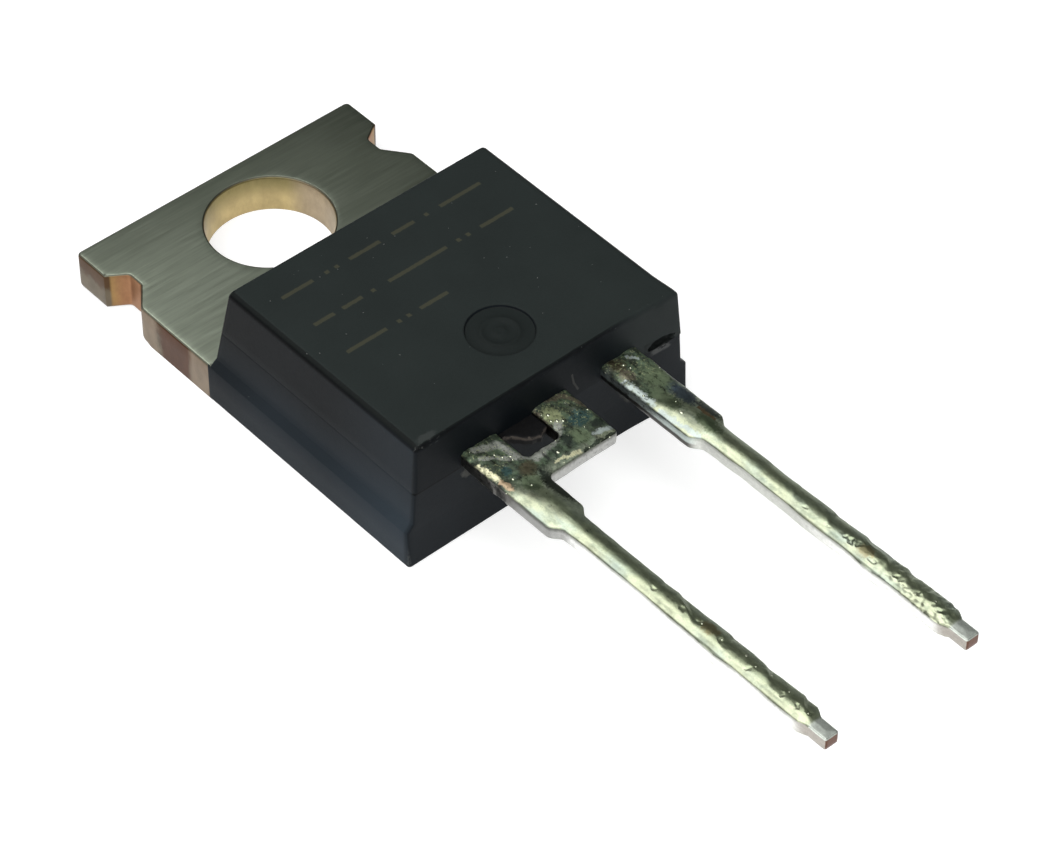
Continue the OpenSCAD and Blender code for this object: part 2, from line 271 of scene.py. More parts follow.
# Triangles over an outline with holes, with inner points about one spacing apart.
def fillOutline(loops, spacing):
    ring = np.array([p[:2] for p in loops[0]])
    low, high = ring.min(0), ring.max(0)
    rows = []
    for j, y in enumerate(np.arange(low[1] + spacing / 2, high[1], spacing * 0.87)):
        xs = np.arange(low[0] + (0.25 + 0.5 * (j % 2)) * spacing, high[0], spacing)
        rows.append(np.stack([xs, np.full_like(xs, y)], 1))
    grid = np.concatenate(rows) if rows else np.zeros((0, 2))
    keep = isInside(grid, loops[0])
    for hole in loops[1:]:
        keep &= ~isInside(grid, hole)
    grid = grid[keep]
    gap = edgeDistance(grid, loops)
    grid, gap = grid[gap > spacing * 0.45], gap[gap > spacing * 0.45]
    coords = [Vector(p[:2]) for loop in loops for p in loop]
    edges, start = [], 0
    for loop in loops:
        edges += [(start + i, start + (i + 1) % len(loop)) for i in range(len(loop))]
        start += len(loop)
    coords += [Vector(p) for p in grid.tolist()]
    verts, _, faces, origin, _, _ = delaunay_2d_cdt(coords, edges, [], 0, 1e-6)
    place = [o[0] if o else -1 for o in origin]
    middles = np.array([sum((verts[i] for i in f), Vector((0, 0))) / len(f) for f in faces])
    keep = isInside(middles, loops[0])
    for hole in loops[1:]:
        keep &= ~isInside(middles, hole)
    triangles = [tuple(place[i] for i in f) for f, k in zip(faces, keep) if k]
    return grid, gap, [f for f in triangles if -1 not in f]


# A slab over an outline: rows run up its walls as (inset, height), and crown lifts its caps by the distance from the edge.
def slab(loops, rows, spacing, crown=None):
    verts, faces = [], []
    rings = []
    for inset, z in rows:
        level = []
        for loop in loops:
            moved = insetOutline(loop, inset)
            level.append(range(len(verts), len(verts) + len(moved)))
            verts += [(p.x, p.y, z) for p in moved]
        rings.append(level)
    for low, high in zip(rings, rings[1:]):
        for a, b in zip(low, high):
            n = len(a)
            faces += [(a[i], a[(i + 1) % n], b[(i + 1) % n], b[i]) for i in range(n)]
    for end, sign in ((0, -1), (-1, 1)):
        inset, z = rows[end]
        level = [i for ring in rings[end] for i in ring]
        edge = [insetOutline(loop, inset) for loop in loops]
        grid, gap, triangles = fillOutline(edge, spacing)
        place = level + list(range(len(verts), len(verts) + len(grid)))
        for (x, y), d in zip(grid, gap):
            verts.append((x, y, z + (crown(x, y, d, sign) if crown else 0)))
        for f in triangles:
            a, b, c = (Vector(verts[place[i]][:2]) for i in f)
            up = (b - a).cross(c - a) > 0
            corners = [place[i] for i in f]
            faces.append(tuple(corners if up == (sign > 0) else corners[::-1]))
    return verts, faces


def meshOf(name, verts, faces):
    mesh = bpy.data.meshes.new(name)
    mesh.from_pydata(verts, [], faces)
    mesh.update()
    return mesh


def joinMeshes(name, meshes):
    bm = bmesh.new()
    for mesh in meshes:
        bm.from_mesh(mesh)
    mesh = bpy.data.meshes.new(name)
    bm.to_mesh(mesh)
    bm.free()
    return mesh


def pushAlongNormals(mesh, amount):
    normals = [v.normal.copy() for v in mesh.vertices]
    for v, normal in zip(mesh.vertices, normals):
        v.co += normal * amount(v.co, normal)
    mesh.update()


def wave(co, scale, seed):
    return noise.noise(Vector((co[0] * scale + seed, co[1] * scale - seed, co[2] * scale + 0.5 * seed)))


# A finished piece: scaled to metres, riding on the frame and standing for its nodes.
def addPiece(name, mesh, material, nodes=(), sharp=40):
    mesh.transform(Matrix.Scale(metre, 4))
    mesh.shade_smooth()
    mesh.set_sharp_from_angle(angle=math.radians(sharp))
    mesh.materials.clear()
    mesh.materials.append(material)
    obj = bpy.data.objects.new(name, mesh)
    bpy.context.scene.collection.objects.link(obj)
    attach(obj, "root")
    if nodes:
        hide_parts(*nodes)
    print(name, len(mesh.polygons), "faces")
    return obj


# A merged copy of a CAD node in millimetres, kept between two heights along Y.
def copyNode(node, low=None, high=None):
    bm = bmesh.new()
    bm.from_mesh(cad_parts[node].data)
    bmesh.ops.scale(bm, vec=(1 / metre,) * 3, verts=bm.verts)
    bmesh.ops.remove_doubles(bm, verts=bm.verts, dist=1e-4)
    for y, way in ((low, -1), (high, 1)):
        if y is None:
            continue
        geometry = bm.verts[:] + bm.edges[:] + bm.faces[:]
        bmesh.ops.bisect_plane(bm, geom=geometry, plane_co=(0, y, 0), plane_no=(0, way, 0), clear_outer=True)
    mesh = bpy.data.meshes.new(node + "_copy")
    bm.to_mesh(mesh)
    bm.free()
    return mesh


def smoothStep(value, low, high):
    t = max(0, min(1, (value - low) / (high - low)))
    return t * t * (3 - 2 * t)


# The moulding, from the same sizes as the CAD solid.
mould = {
    "tabTop": 1.27,
    "baseWidth": 5.09,
    "ledgeWidth": 4.88,
    "ledgeTop": 1.525,
    "parting": 2.64,
    "top": 4.3,
    "back": -3.57,
    "flange": -3.45,
    "front": -12.22,
    "step": 0.04,
    "lift": 0.015,
    "sideLean": math.tan(math.radians(4)),
    "backLean": math.tan(math.radians(11)),
    "frontLean": math.tan(math.radians(3)),
    "sideRound": 0.22,
    "endRound": 0.09,
    "cornerRound": 0.1,
    "perSide": 70,
}
pinMark = {"x": 0.0, "y": -10.17, "radius": 0.975, "depth": 0.07, "edge": 0.05}
gateScar = {"x": 4.1, "z": 2.76, "length": 1.0, "depth": 0.26}

# Plain bars and dots, where such a part is marked: rows by their height along Y, bars as middle and length.
marks = {
    "thickness": 0.13,
    "colour": (0.07, 0.068, 0.042),
    "strength": 0.6,
    "rows": [
        (-5.3, [(-3.15, 1.1), (-2.1, 0.13), (-1.75, 0.13), (-0.75, 1.1), (0.65, 0.8), (1.5, 0.13), (2.75, 1.5)]),
        (-6.7, [(-3.35, 0.7), (-2.35, 0.7), (-1.6, 0.13), (0.0, 2.1), (1.5, 0.13), (1.85, 0.13), (2.9, 1.2)]),
        (-8.1, [(-3.0, 1.4), (-1.85, 0.13), (-1.5, 0.13), (-0.6, 1.0)]),
    ],
}

# Colours are linear, and places are in millimetres.
epoxyLook = {
    "top": (0.0208, 0.0262, 0.0252),
    "side": (0.0112, 0.0152, 0.0194),
    "pale": (0.17, 0.175, 0.17),
    "residue": (0.11, 0.11, 0.1),
    "roughness": 0.52,
    "specular": 0.085,
    "edgeShade": 0.35,
    "upperFront": 0.45,
    "grain": 14,
}


def markMask(p):
    t = marks["thickness"] / 2
    grain = 0.05 * (p.noise(9, detail=2) - 0.5)
    found = None
    for y, bars in marks["rows"]:
        row = None
        for middle, length in bars:
            reach = max(length, marks["thickness"]) / 2
            bar = p.ramp((p.x - middle).size() + grain, reach + 0.02, reach - 0.02)
            row = bar if row is None else row.most(bar)
        row = row * p.ramp((p.y - y).size() + grain, t + 0.02, t - 0.02)
        found = row if found is None else found.most(row)
    return found * p.ramp(p.z, 4.2, 4.25)


def epoxyPaint():
    p = Paint("black epoxy")
    c = epoxyLook
    nx, ny, nz = p.facing()
    cloud = p.noise(0.5, detail=2)
    grain = p.noise(c["grain"], detail=3, roughness=0.7)
    fine = p.noise(38, detail=2, roughness=0.6)
    edge = p.noise(3.5, detail=3, roughness=0.65, shift=(5, 1, 3)) - 0.5
    # painted shade: the leaning faces take a darker and bluer copy of the top's colour
    lean = p.ramp(nz, 0.75, 0.5)
    colour = p.mix(lean, c["top"], c["side"])
    # painted shade: the rounded edge along the sides of the top is painted the darkest part, and is a little less rough
    edgeShade = p.ramp(nz, 0.16, 0.4) * p.ramp(nz, 0.995, 0.94) * p.ramp(p.z, 3.95, 4.1)
    # painted shade on the front above the parting line, fading out towards the right end
    front = p.ramp(p.y, -12.0, -12.1) * p.ramp(p.z, 2.64, 2.7) * p.ramp(p.z, 4.29, 4.2)
    front = front * p.ramp(p.x, 3.4, 1.6)
    # painted light: at the right end of the front, face and edge take the top's colour and lose the painted edge shade
    rightEnd = p.ramp(p.y, -12.0, -12.06) * p.ramp(p.x, 1.8, 3.4) * p.ramp(p.z, 2.64, 2.7)
    colour = p.mix(rightEnd * 0.85, colour, c["top"])
    edgeShade = edgeShade * (1 - rightEnd)
    # painted shadow in a thin line along the parting of the front
    partingShadow = p.ramp((p.z - mould["parting"] - 0.01).size(), 0.065, 0.03) * p.ramp(p.y, -12.1, -12.15)
    partingShadow = partingShadow * p.ramp(p.x, -1.2, -1.8)
    # painted light: the leaning faces grow lighter lower down
    lower = p.ramp(p.z, 3.2, 1.0) * lean
    pin = p.ramp((p.x * p.x + (p.y - pinMark["y"]) * (p.y - pinMark["y"])) ** 0.5, 1.0, 0.93) * p.ramp(p.z, 4.1, 4.15)
    shade = 0.85 + 0.3 * cloud + 0.14 * (grain - 0.5)
    shade = shade * p.blend(edgeShade, 1, c["edgeShade"]) * p.blend(front, 1, c["upperFront"]) * (1 - 0.28 * pin)
    shade = shade * (1 - 0.75 * partingShadow)
    # painted shade in the hollow of the gate scar
    scarHollowShade = p.ramp(((p.x - gateScar["x"]) / 0.65).size(), 1, 0.9) * p.ramp((p.z - gateScar["z"]).size(), 0.24, 0.2)
    scarHollowShade = scarHollowShade * p.ramp(p.y, -12.28, -12.24) * p.ramp(p.y, -11.8, -12.0)
    shade = shade * (1 - 0.45 * scarHollowShade)
    # painted shade on the left side: darker at the back and near the top, lighter towards the leads
    left = p.ramp(nx, -0.6, -0.85)
    leftShade = 0.32 + 0.75 * p.ramp(p.z, 3.0, 1.6) + 0.9 * p.ramp(p.y, -8.0, -12.0)
    leftShade = leftShade * p.ramp(p.y, -3.8, -6.5, 0.6, 1.0)
    shade = shade * p.blend(left, 1, leftShade)
    # painted shade on the front below the parting line
    lowFrontShade = p.ramp(p.y, -12.0, -12.1) * p.ramp(p.z, 2.7, 2.64)
    shade = shade * (1 - 0.4 * lowFrontShade)
    colour = p.shaded(colour, shade * (1 + 0.2 * lower))
    colour = p.mix(markMask(p) * marks["strength"], colour, marks["colour"])
    # chips along the front edge of the top, most of them at its left end
    rim = p.ramp(p.y, -12.0, -12.08) * p.ramp(p.z, 4.08, 4.2) * 0.6
    chipNoise = p.noise(5, (1, 2, 2), 4, 0.7)
    often = p.ramp(p.x, -3.0, -4.2)
    chips = rim * p.ramp(chipNoise + 0.1 * often, 0.66, 0.72)
    chips = chips.most(0.22 * p.patch(p.x, p.y, (-4.12, -11.95), (0.35, 0.13), 2.0 * edge) * p.ramp(p.z, 4.15, 4.22))
    # the scar's pale lip, and the worn corner by the floor
    scar = p.ramp(((p.x - gateScar["x"]) / 0.42).size(), 1, 0.6) * p.ramp(p.z, 2.34, 2.44) * p.ramp(p.z, 2.61, 2.57)
    scar = scar * p.ramp(p.y, -12.22, -12.25) * p.ramp(p.noise(6, (1, 1, 2)), 0.35, 0.5)
    corner = p.ramp(p.x + p.y, -17.22, -17.27) * p.ramp(p.x, 0, -1) * p.ramp(p.z, 1.5, 1.2)
    pale = chips.most(scar * 0.8).most(corner * p.ramp(grain, 0.35, 0.6) * 0.5)
    colour = p.mix(pale * 0.55, colour, c["pale"])
    # flux that has spread from the leads
    onFront = p.ramp(p.y, -12.1, -12.16)
    residue = p.patch(p.x, p.z, (-2.85, 2.28), (0.3, 0.2), 1.6 * edge)
    residue = residue.most(p.stroke(p.x, p.z, [(2.66, 1.95), (3.02, 1.2)], 0.16, 1.6 * edge))
    residue = residue.most(0.6 * p.stroke(p.x, p.z, [(0.86, 3.5), (0.9, 3.2), (1.05, 2.87)], 0.035, edge))
    colour = p.mix(residue * onFront * 0.6, colour, c["residue"])
    height = grain * 0.6 + fine * 0.4
    return p.finish(
        Base_Color=colour,
        Roughness=c["roughness"] + 0.14 * (grain - 0.5) - 0.1 * edgeShade,
        Specular_IOR_Level=c["specular"],
        Normal=p.bump(height, 0.35, 0.02),
    )


# Rough torn flash: dark on its skins and pale where it broke.
flashLook = {"skin": (0.0065, 0.0065, 0.0068), "broken": (0.075, 0.064, 0.055), "roughness": 0.6}


def flashPaint():
    p = Paint("torn flash")
    nx, ny, nz = p.facing()
    grain = p.noise(8, detail=3, roughness=0.7)
    torn = p.ramp(nz.size(), 0.97, 0.7) * p.ramp(p.z, 2.85, 2.93) * p.ramp(grain, 0.3, 0.5)
    colour = p.shaded(flashLook["skin"], 0.7 + 0.6 * grain)
    return p.finish(
        Base_Color=p.mix(torn, colour, flashLook["broken"]),
        Roughness=flashLook["roughness"],
        Specular_IOR_Level=0.1,
        Normal=p.bump(grain, 0.4, 0.02),
    )


plateLook = {
    "bright": (0.5, 0.55, 0.44),
    "dull": (0.42, 0.465, 0.365),
    "burnish": (0.12, 0.07, 0.038),
    "torn": (0.2, 0.165, 0.115),
    "brown": (0.115, 0.052, 0.028),
    "tan": (0.32, 0.25, 0.18),
    "notchGold": (0.4, 0.26, 0.1),
    "notchRose": (0.44, 0.23, 0.12),
    "holeDeep": (0.37, 0.31, 0.14),
    "holeBright": (0.66, 0.52, 0.26),
    "holeRose": (0.5, 0.4, 0.27),
    "edgeBrown": (0.1, 0.06, 0.035),
    "rolledShade": (0.062, 0.052, 0.036),
    "roughness": 0.36,
}


# Sheared walls: burnished above and torn below, with patches along the left one.
def wallColour(p):
    c = plateLook
    smear = p.noise(2.4, (1, 1, 0.6), 5, 0.7, (2, 5, 1)) - 0.5
    colour = p.mix(p.ramp(p.z + 0.8 * smear, 0.6, 0.85), c["torn"], c["burnish"])
    brown = p.ramp(p.y + 0.5 * smear, -1.2, -1.45) * p.ramp(p.y + 0.5 * smear, -2.75, -2.45)
    colour = p.mix(brown, colour, c["brown"])
    pale = p.ramp(p.y + 0.4 * smear, -2.5, -2.8)
    pale = pale.most(p.ramp(p.y + 0.5 * smear, -1.3, -1.0) * p.ramp(p.y, -0.4, -0.5))
    colour = p.mix(pale * 0.9, colour, c["tan"])
    floorMask = p.ramp(p.x.size(), 4.98, 4.9) * p.ramp(p.y, 1.5, 1.2) * p.ramp(p.y, -0.2, 0.1)
    notch = p.mix(p.ramp(p.y + 0.2 * smear, 0.95, 1.3), c["notchRose"], c["notchGold"])
    rims = p.ramp(p.y, 1.2, 1.32).most(p.ramp(p.y, 0.32, 0.16))
    notch = p.mix(rims * 0.8, notch, c["edgeBrown"])
    colour = p.mix(floorMask, colour, notch)
    span = (p.x * p.x + p.y * p.y) ** 0.5
    hole = p.mix(p.ramp(p.z + 0.3 * smear, 1.15, 0.35), c["holeDeep"], c["holeBright"])
    hole = p.mix(p.ramp(p.x, -1.1, -1.75) + p.ramp(p.x, 1.5, 1.9), hole, c["holeRose"])
    colour = p.mix(p.ramp(span, 2.2, 2.1), colour, hole)
    return p.shaded(colour, 0.7 + 0.6 * smear)


def platePaint():
    p = Paint("brushed plate")
    c = plateLook
    nx, ny, nz = p.facing()
    streak = p.noise(2.2, (0.22, 4, 1), 4, 0.6)
    fineStreak = p.noise(8, (0.1, 3, 1), 3, 0.7, (3, 1, 0))
    cloud = p.noise(0.45, (0.7, 1.6, 1), 3, 0.55, (7, 2, 0))
    tone = p.ramp(cloud + 0.5 * (streak - 0.5), 0.25, 0.75)
    # painted light: the top grows darker from left to right and towards the free end, standing in for the lamp's
    # reflection; the streaks in it are the brushing
    shade = (1.04 - 0.085 * p.x) * (1 + 0.25 * (streak - 0.5) + 0.25 * (fineStreak - 0.5))
    shade = shade * p.ramp(p.y, 2.4, 0.2, 0.82, 1.05)
    # the rolled edges are rougher, and painted dark as shade so that they catch no highlight
    rolledShade = p.ramp(nz, 0.995, 0.93)
    top = p.mix(rolledShade * 0.86, p.shaded(p.mix(tone, c["dull"], c["bright"]), shade), c["rolledShade"])
    wall = p.ramp(nz.size(), 0.75, 0.55)
    height = streak * 0.5 + fineStreak * 0.5
    return p.finish(
        Base_Color=p.mix(wall, top, wallColour(p)),
        Metallic=1.0,
        Roughness=p.blend(wall, c["roughness"] + 0.12 * (streak - 0.5) + 0.2 * rolledShade, 0.42),
        Normal=p.bump(height, p.blend(wall, 0.3, 0.2), 0.012),
    )


solderLook = {
    "bright": (0.6, 0.64, 0.45),
    "cool": (0.46, 0.54, 0.46),
    "murk": (0.3, 0.35, 0.25),
    "shadow": (0.37, 0.43, 0.27),
    "slope": (0.42, 0.48, 0.37),
    "side": (0.42, 0.43, 0.39),
    "sideLow": (0.92, 0.92, 0.89),
    "sideTip": (0.42, 0.39, 0.35),
    "sideDark": (0.055, 0.052, 0.046),
    "sideRoot": (0.13, 0.126, 0.115),
    "tip": (0.62, 0.66, 0.6),
    "copper": (0.13, 0.065, 0.045),
    "stain": (0.3, 0.22, 0.09),
    "deep": (0.03, 0.042, 0.03),
    "patchShade": (0.02, 0.028, 0.023),
    "green": (0.1, 0.15, 0.09),
    "moss": (0.16, 0.21, 0.12),
    "teal": (0.035, 0.085, 0.085),
    "blue": (0.04, 0.062, 0.1),
    "brown": (0.075, 0.063, 0.035),
    "beige": (0.17, 0.15, 0.105),
    "rust": (0.22, 0.15, 0.075),
    "froth": (0.29, 0.3, 0.27),
    "lime": (0.34, 0.38, 0.2),
    "paleHighlight": (0.5, 0.57, 0.54),
    "goldHighlight": (0.86, 0.84, 0.55),
    "roseHighlight": (0.6, 0.44, 0.28),
    "roughness": 0.35,
}

# Marks on the roots of the leads: patches as colour, place and half sizes, and strokes as colour, points and width. The
# darkest patches and the deep line along the stub's front edge are painted shade, and the gold, rose and palest strokes
# are painted highlights.
rootPatches = [
    ("moss", (-2.42, -14.25), (0.34, 0.4)),
    ("brown", (-2.15, -13.82), (0.34, 0.28)),
    ("teal", (-2.67, -13.5), (0.15, 0.22)),
    ("patchShade", (-1.97, -14.75), (0.3, 0.85)),
    ("moss", (-0.3, -13.78), (0.28, 0.36)),
    ("lime", (-0.33, -12.72), (0.26, 0.36)),
    ("teal", (0.12, -13.28), (0.36, 0.28)),
    ("patchShade", (-0.66, -13.62), (0.16, 0.36)),
    ("patchShade", (0.4, -13.72), (0.26, 0.16)),
    ("brown", (2.25, -12.45), (0.26, 0.34)),
    ("beige", (2.2, -12.92), (0.22, 0.26)),
    ("moss", (2.8, -13.45), (0.42, 0.5)),
    ("moss", (2.38, -14.3), (0.26, 0.7)),
    ("blue", (2.88, -14.5), (0.3, 0.55)),
    ("patchShade", (3.0, -15.35), (0.2, 0.5)),
    ("moss", (2.6, -15.75), (0.26, 0.5)),
]
rootStrokes = [
    (
        "froth",
        [
            (-2.8, -12.33),
            (-2.51, -12.48),
            (-2.17, -12.64),
            (-2.1, -13.2),
            (-1.74, -13.6),
            (-1.17, -13.52),
            (-0.81, -13.39),
            (-0.45, -13.07),
        ],
        0.15,
    ),
    ("froth", [(-2.9, -12.7), (-2.5, -13.0), (-2.2, -13.3)], 0.08),
    ("goldHighlight", [(-3.13, -12.85), (-3.08, -13.2), (-3.04, -13.55)], 0.09),
    ("roseHighlight", [(-3.02, -13.72), (-3.02, -14.1)], 0.09),
    ("beige", [(-0.1, -12.2), (0.35, -12.33), (0.53, -12.66), (0.62, -13.1)], 0.09),
    ("beige", [(-0.58, -12.25), (-0.62, -12.95)], 0.06),
    ("paleHighlight", [(0.05, -13.98), (0.58, -14.07)], 0.09),
    ("goldHighlight", [(-1.43, -14.1), (-0.68, -14.2)], 0.06),
    ("deep", [(-0.55, -14.25), (0.6, -14.27)], 0.05),
    ("paleHighlight", [(1.97, -13.05), (2.02, -13.6), (2.03, -14.15)], 0.1),
    ("paleHighlight", [(1.96, -14.5), (2.0, -14.9), (2.06, -15.45), (2.1, -15.9)], 0.08),
    ("rust", [(2.82, -15.15), (2.83, -15.75)], 0.06),
    ("paleHighlight", [(2.66, -12.36), (2.9, -12.62)], 0.05),
]


def rootColours(p, colour):
    c = solderLook
    broad = p.noise(4.5, detail=3, roughness=0.7, shift=(4, 0, 2)) - 0.5
    other = p.noise(4.5, detail=3, roughness=0.7, shift=(1, 6, 3)) - 0.5
    crumb = p.noise(15, detail=2, roughness=0.7, shift=(2, 2, 0))
    x = p.x + 0.3 * broad + 0.12 * (crumb - 0.5)
    y = p.y + 0.3 * other
    froth = None
    for key, place, halves in rootPatches:
        colour = p.mix(p.patch(x, y, place, halves, 1.2 * (crumb - 0.5)) * 0.85, colour, c[key])
    for key, points, width in rootStrokes:
        found = p.stroke(x, y, points, width, 1.0 * (crumb - 0.5))
        if key == "froth":
            froth = found if froth is None else froth.most(found)
            found = found * p.ramp(crumb, 0.28, 0.5)
        colour = p.mix(found * 0.9, colour, c[key])
    return colour, froth


def solderPaint():
    p = Paint("solder coat")
    c = solderLook
    nx, ny, nz = p.facing()
    tone = p.noise(0.9, (1.6, 0.7, 1), 3, 0.6)
    mottle = p.noise(3.2, (1.5, 0.7, 1), 4, 0.7, (3, 2, 5))
    fine = p.noise(9, (1.2, 0.6, 1), 4, 0.65)
    speck = p.noise(24, detail=2, roughness=0.6, shift=(1, 4, 2))
    glint = p.noise(13, detail=2, roughness=0.75, shift=(8, 3, 1))
    edge = 2.0 * (p.noise(5, detail=4, roughness=0.75, shift=(4, 0, 2)) - 0.5)
    colour = p.mix(p.ramp(tone, 0.45, 0.7), c["bright"], c["cool"])
    colour = p.mix(p.ramp(mottle, 0.46, 0.66) * 0.6, colour, c["murk"])
    # painted shade: a darker and greener stripe along the middle of each lead, and a darker right slope
    pitch = 2 * 2.54
    offset = p.x + pitch / 2 - pitch * p.ramp(p.x, -0.02, 0.02)
    middle = p.ramp(offset + 0.12 * edge, -0.2, 0.0) * p.ramp(offset, 0.36, 0.16) * p.ramp(p.y, -13.9, -14.6)
    colour = p.mix(middle * 0.7, colour, c["shadow"])
    slope = p.ramp(offset + 0.05 * edge, 0.1, 0.3)
    colour = p.mix(slope * 0.7, colour, c["slope"])
    # the roots are tarnished, with flux and froth on them, and their marks hold painted highlights and shade as well
    root = p.ramp(p.y + 0.4 * edge, -14.5, -13.9)
    tarnish = p.mix(p.ramp(mottle, 0.4, 0.62), c["deep"], c["green"])
    colour = p.mix(root * 0.95, colour, tarnish)
    colour, froth = rootColours(p, colour)
    # painted glints in lime near the body
    early = p.ramp(p.y + 0.3 * edge, -13.7, -13.2)
    colour = p.mix(early * p.ramp(glint, 0.57, 0.66) * 0.8, colour, c["lime"])
    pores = root * p.ramp(fine, 0.47, 0.36)
    # brown marks part of the way out
    stain = p.patch(p.x, p.y, (-2.45, -21.2), (0.2, 0.35), edge).most(p.patch(p.x, p.y, (2.5, -21.9), (0.2, 0.3), edge))
    colour = p.mix(stain * 0.6, colour, c["stain"])
    # painted shade: a dark line where top and side meet
    rolledShade = p.ramp(nz, 0.3, 0.5) * p.ramp(nz, 0.88, 0.78)
    side = p.ramp(nz.size(), 0.6, 0.3)
    # painted reflection and shade on the side walls: a dark stripe at the top, and near white below for the floor they
    # reflect
    wall = p.mix(p.ramp(p.z + 0.05 * edge, 3.06, 2.94), c["side"], c["sideLow"])
    # painted shade: greyer on the far lead's walls from about halfway in, and darker at the near lead's shoulder
    grey = p.ramp(p.x, 1.0, 1.2) * p.ramp(p.y + 0.8 * edge, -21.5, -19.5)
    wall = p.mix(grey * 0.7, wall, c["side"])
    shoulder = p.ramp(p.x, -2.5, -2.9) * p.ramp(p.y + 0.3 * edge, -16.8, -15.8)
    wall = p.shaded(wall, 1 - 0.68 * shoulder)
    # the narrow tip's walls are grey-beige
    wall = p.mix(p.ramp(p.y + 0.1 * edge, -24.6, -25.1), wall, c["sideTip"])
    # painted shade on the walls of the bridge and stub between the leads
    bridge = p.ramp(p.x, -2.1, -1.9) * p.ramp(p.x, 1.0, 0.8)
    wall = p.shaded(wall, 1 - 0.68 * bridge)
    # darker walls by the near lead's root
    wall = p.mix(p.ramp(p.y + 0.2 * edge, -14.8, -14.0) * p.ramp(p.x, -2.5, -2.9) * 0.85, wall, c["sideRoot"])
    # painted shade on the walls inside the slot, and on the far lead's root a painted dark foot under a painted
    # highlight
    inner = p.ramp(p.y, -13.5, -13.4) * p.ramp(p.x, -2.0, -1.9) * p.ramp(p.x, -0.5, -0.6)
    farWall = p.ramp(p.x, 1.0, 1.2) * p.ramp(p.y, -16.0, -15.6)
    wall = p.mix(farWall, wall, p.mix(p.ramp(p.z + 0.03 * edge, 2.82, 2.9), c["sideDark"], c["paleHighlight"]))
    wall = p.mix(inner, wall, c["sideDark"])
    # painted light: walls that face the front are lighter
    wall = p.shaded(wall, 1 + 0.3 * p.ramp(ny, -0.4, -0.8))
    colour = p.mix(side, colour, wall)
    tip = p.ramp(p.y, -25.1, -25.22) * p.ramp(nz, 0.5, 0.8)
    colour = p.mix(tip, colour, c["tip"])
    cut = p.ramp(p.y, -25.74, -25.77) * p.ramp(ny, -0.5, -0.8)
    colour = p.mix(cut, colour, c["copper"])
    shade = (1 - 0.5 * rolledShade) * (0.8 + 0.4 * speck) * (1 + 0.6 * (fine - 0.5)) * (1 - 0.6 * pores)
    rough = c["roughness"] + 0.4 * (fine - 0.5) + 0.1 * slope
    return p.finish(
        Base_Color=p.shaded(colour, shade),
        Metallic=1 - (0.5 * root + 0.3 * froth) * (1 - side),
        Roughness=p.blend(side.most(cut), p.blend(tip, rough, 0.5), 0.3),
        Normal=p.bump(0.6 * fine + 0.4 * speck, 0.35 + 0.4 * root, 0.014),
    )


def plainPaint(name, colour, metallic, roughness):
    p = Paint(name)
    grain = p.noise(6, detail=2)
    return p.finish(
        Base_Color=p.shaded(colour, 0.9 + 0.2 * grain),
        Metallic=metallic,
        Roughness=roughness + 0.1 * (grain - 0.5),
    )



epoxy = epoxyPaint()
plate = platePaint()
solder = solderPaint()
torn = flashPaint()
silicon = plainPaint("silicon", (0.1, 0.105, 0.13), 0.0, 0.2)
softSolder = plainPaint("die solder", (0.4, 0.41, 0.42), 1.0, 0.4)
wire = plainPaint("aluminium wire", (0.75, 0.76, 0.78), 1.0, 0.3)
copperInside = plainPaint("copper inside", (0.5, 0.26, 0.15), 1.0, 0.35)
bead = plainPaint("solder bead", (0.62, 0.65, 0.5), 1.0, 0.25)
dust = plainPaint("dust", (0.1, 0.105, 0.1), 0.0, 0.8)
print("materials made")

# The moulding's rings.
def mouldRing(z, width, back, front):
    r = mould["cornerRound"]
    middles = [(width - r, back - r), (r - width, back - r), (r - width, front + r), (width - r, front + r)]
    arcs = []
    for quarter, (x, y) in enumerate(middles):
        turn = [math.radians(90 * quarter + 15 * k) for k in range(7)]
        arcs.append([Vector((x + r * math.cos(a), y + r * math.sin(a))) for a in turn])
    ring = []
    for arc, after in zip(arcs, arcs[1:] + arcs[:1]):
        ring += arc
        ring += [arc[-1].lerp(after[0], k / mould["perSide"]) for k in range(1, mould["perSide"])]
    return [(p.x, p.y, z) for p in ring]


def sideAt(z):
    return mould["ledgeWidth"] - (z - mould["ledgeTop"]) * mould["sideLean"]


def backAt(z):
    return mould["back"] - (z - mould["tabTop"]) * mould["backLean"]


def frontAt(z):
    return mould["front"] + (z - mould["parting"]) * mould["frontLean"]


def loftRings(rings):
    verts = [p for ring in rings for p in ring]
    n = len(rings[0])
    faces = []
    for j in range(len(rings) - 1):
        faces += [(j * n + i, j * n + (i + 1) % n, (j + 1) * n + (i + 1) % n, (j + 1) * n + i) for i in range(n)]
    faces.append(tuple(range(n))[::-1])
    return verts, faces


